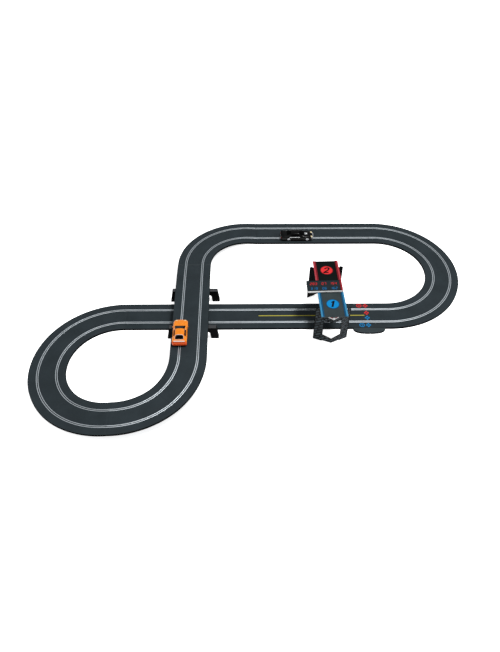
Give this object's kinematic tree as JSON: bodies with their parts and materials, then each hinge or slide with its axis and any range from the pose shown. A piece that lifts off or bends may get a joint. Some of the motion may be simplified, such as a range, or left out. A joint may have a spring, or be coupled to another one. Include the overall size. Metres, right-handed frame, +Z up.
{
  "type": "slot car track set",
  "caption": "Two-lane electric slot car circuit with a bridge, curves, a power base, a start gantry with a lap display, and guided cars that roll along the slots.",
  "frame": {"origin": "on the floor, at the middle of the circuit's plan", "axes": "+X along the front straight towards the power base, +Y towards the back straight, +Z up"},
  "size_m": [1.932, 1.34, 0.1891],
  "materials": {
    "track_plastic": "fine matt texture, dark blue grey",
    "support_plastic": "satin black moulding",
    "gantry_weave": "printed diagonal weave, satin",
    "deck_plastic": "matt charcoal with coloured side rails",
    "display_plastic": "smoked panel",
    "trim_white": "white and red chevron",
    "cover_plastic": "matt",
    "circuit_board": "solder mask",
    "jack_plastic": "satin",
    "orange_paint": "gloss orange",
    "black_paint": "gloss black",
    "glazing": "smoked window moulding",
    "chassis_plastic": "matt",
    "tyre": "slick rubber on a silver hub",
    "axle_steel": "drawn bar",
    "gear_nylon": "natural nylon",
    "pinion_brass": "machined",
    "motor_can": "plated can",
    "guide_nylon": "self coloured nylon"
  },
  "bodies": {
    "track": {"front_short_straight": "track_plastic", "front_crossing_straight": "track_plastic", "front_centre_straight": "track_plastic", "power_base": "track_plastic", "right_curve_1": "track_plastic", "right_curve_2": "track_plastic", "right_curve_3": "track_plastic", "right_curve_4": "track_plastic", "back_long_straight": "track_plastic", "back_short_straight": "track_plastic", "far_ramp_curve_1": "track_plastic", "far_ramp_curve_2": "track_plastic", "far_ramp_straight": "track_plastic", "bridge_straight": "track_plastic", "bridge_end_straight": "track_plastic", "loop_curve_1": "track_plastic", "loop_curve_2": "track_plastic", "loop_curve_3": "track_plastic", "loop_curve_4": "track_plastic", "loop_curve_5": "track_plastic", "loop_curve_6": "track_plastic", "far_support": "support_plastic", "near_support": "support_plastic", "connector_housing": "track_plastic", "housing_cover": "cover_plastic", "circuit_board": "circuit_board", "jack_block": "jack_plastic", "near_gantry_wall": "gantry_weave", "far_gantry_wall": "gantry_weave", "near_chevron": "trim_white", "far_chevron": "trim_white", "near_deck": "deck_plastic", "far_deck": "deck_plastic", "display_board": "display_plastic"},
    "orange_guide_blade": {"orange_guide": "guide_nylon"},
    "orange_car": {"orange_body_shell": "orange_paint", "orange_glazing": "glazing", "orange_chassis": "chassis_plastic", "orange_motor": "motor_can"},
    "orange_front_wheels": {"orange_front_axle": "axle_steel", "orange_front_left_wheel": "tyre", "orange_front_right_wheel": "tyre"},
    "orange_rear_wheels": {"orange_rear_axle": "axle_steel", "orange_rear_left_wheel": "tyre", "orange_rear_right_wheel": "tyre", "orange_spur_gear": "gear_nylon"},
    "orange_motor_shaft": {"orange_pinion": "pinion_brass"},
    "black_guide_blade": {"black_guide": "guide_nylon"},
    "black_car": {"black_body_shell": "black_paint", "black_glazing": "glazing", "black_chassis": "chassis_plastic", "black_motor": "motor_can"},
    "black_front_wheels": {"black_front_axle": "axle_steel", "black_front_left_wheel": "tyre", "black_front_right_wheel": "tyre"},
    "black_rear_wheels": {"black_rear_axle": "axle_steel", "black_rear_left_wheel": "tyre", "black_rear_right_wheel": "tyre", "black_spur_gear": "gear_nylon"},
    "black_motor_shaft": {"black_pinion": "pinion_brass"}
  },
  "joints": [
    {"name": "orange_slide", "type": "slide", "parent": "track", "child": "orange_guide_blade", "axis": [0, 1, 0], "range_m": [-0.065, 0.285]},
    {"name": "orange_yaw", "type": "hinge", "parent": "orange_guide_blade", "child": "orange_car", "pos_m": [-0.335, -0.1175, 0.074], "axis": [0, 0, 1], "range_deg": [-20, 20]},
    {"name": "orange_front_axle_spin", "type": "hinge", "parent": "orange_car", "child": "orange_front_wheels", "pos_m": [-0.335, -0.1305, 0.0849], "axis": [-1, 0, 0], "continuous": true},
    {"name": "orange_rear_axle_spin", "type": "hinge", "parent": "orange_car", "child": "orange_rear_wheels", "pos_m": [-0.335, -0.2165, 0.0849], "axis": [-1, 0, 0], "continuous": true},
    {"name": "orange_motor_spin", "type": "hinge", "parent": "orange_car", "child": "orange_motor_shaft", "pos_m": [-0.335, -0.20635, 0.08963], "axis": [-1, 0, 0], "continuous": true},
    {"name": "black_slide", "type": "slide", "parent": "track", "child": "black_guide_blade", "axis": [1, 0, 0], "range_m": [-0.12, 0.288]},
    {"name": "black_yaw", "type": "hinge", "parent": "black_guide_blade", "child": "black_car", "pos_m": [0.272, 0.553, 0.009], "axis": [0, 0, 1], "range_deg": [-20, 20]},
    {"name": "black_front_axle_spin", "type": "hinge", "parent": "black_car", "child": "black_front_wheels", "pos_m": [0.259, 0.553, 0.0199], "axis": [0, 1, 0], "continuous": true},
    {"name": "black_rear_axle_spin", "type": "hinge", "parent": "black_car", "child": "black_rear_wheels", "pos_m": [0.166, 0.553, 0.0199], "axis": [0, 1, 0], "continuous": true},
    {"name": "black_motor_spin", "type": "hinge", "parent": "black_car", "child": "black_motor_shaft", "pos_m": [0.17615, 0.553, 0.02463], "axis": [0, 1, 0], "continuous": true}
  ],
  "couplings": [
    {"joint": "orange_front_axle_spin", "follows": "orange_slide", "rad_per_m": 94.34},
    {"joint": "orange_rear_axle_spin", "follows": "orange_slide", "rad_per_m": 94.34},
    {"joint": "orange_motor_spin", "follows": "orange_slide", "rad_per_m": -283.02},
    {"joint": "black_front_axle_spin", "follows": "black_slide", "rad_per_m": 94.34},
    {"joint": "black_rear_axle_spin", "follows": "black_slide", "rad_per_m": 94.34},
    {"joint": "black_motor_spin", "follows": "black_slide", "rad_per_m": -283.02}
  ]
}
